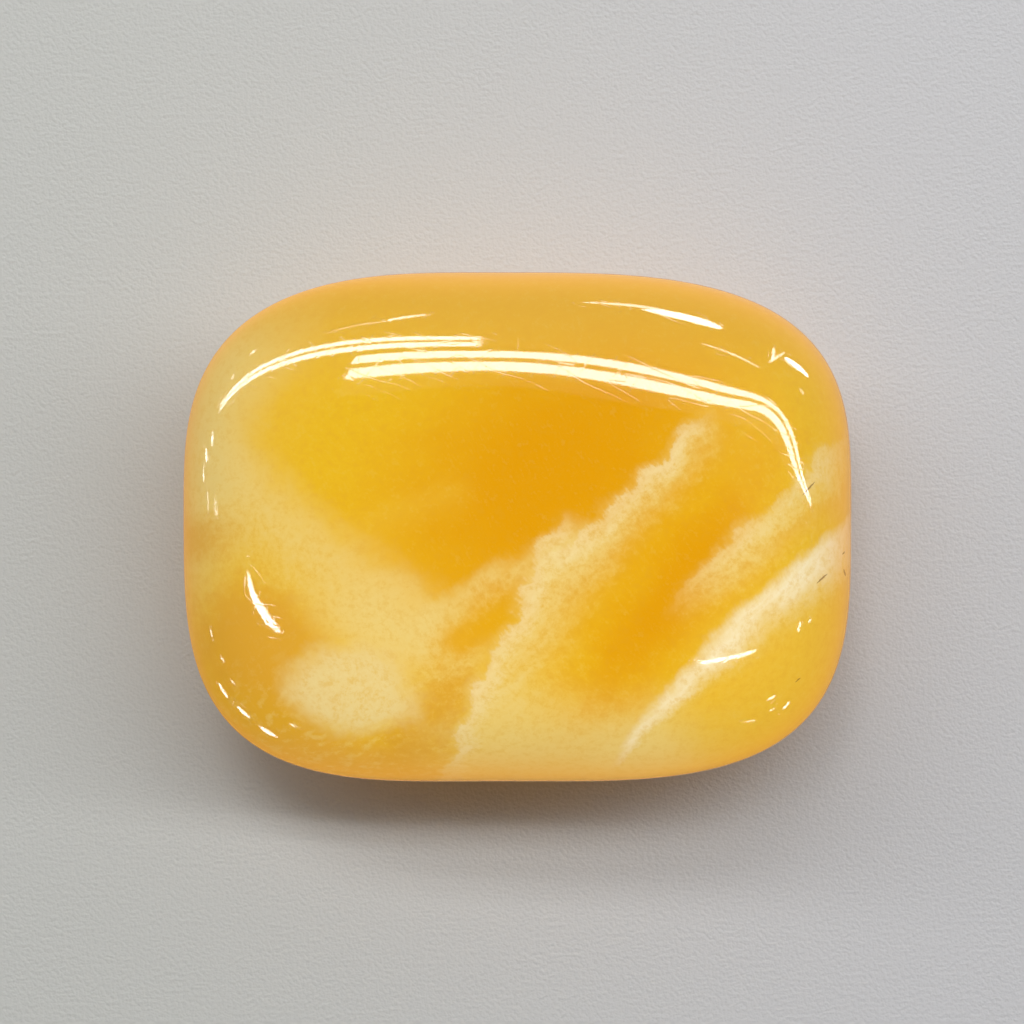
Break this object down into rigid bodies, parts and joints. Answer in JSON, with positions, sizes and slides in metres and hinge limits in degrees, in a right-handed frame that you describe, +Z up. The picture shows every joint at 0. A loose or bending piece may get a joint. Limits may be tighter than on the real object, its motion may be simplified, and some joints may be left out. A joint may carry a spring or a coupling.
{
  "type": "polished orange calcite block",
  "caption": "Palm-sized block of polished orange calcite, shaped as a rounded rectangle with rolled edges and softly crowned faces, that rests on a small flat spot.",
  "frame": {"origin": "middle of the block's footprint, on the surface that it rests on", "axes": "+Z up, +X along the length towards the right of the picture, +Y across the width towards the top of the picture"},
  "size_m": [0.07, 0.0534, 0.026],
  "materials": {
    "orange_calcite": "high polish, translucent, banded"
  },
  "bodies": {
    "root": {"calcite_block": "orange_calcite"}
  },
  "joints": []
}
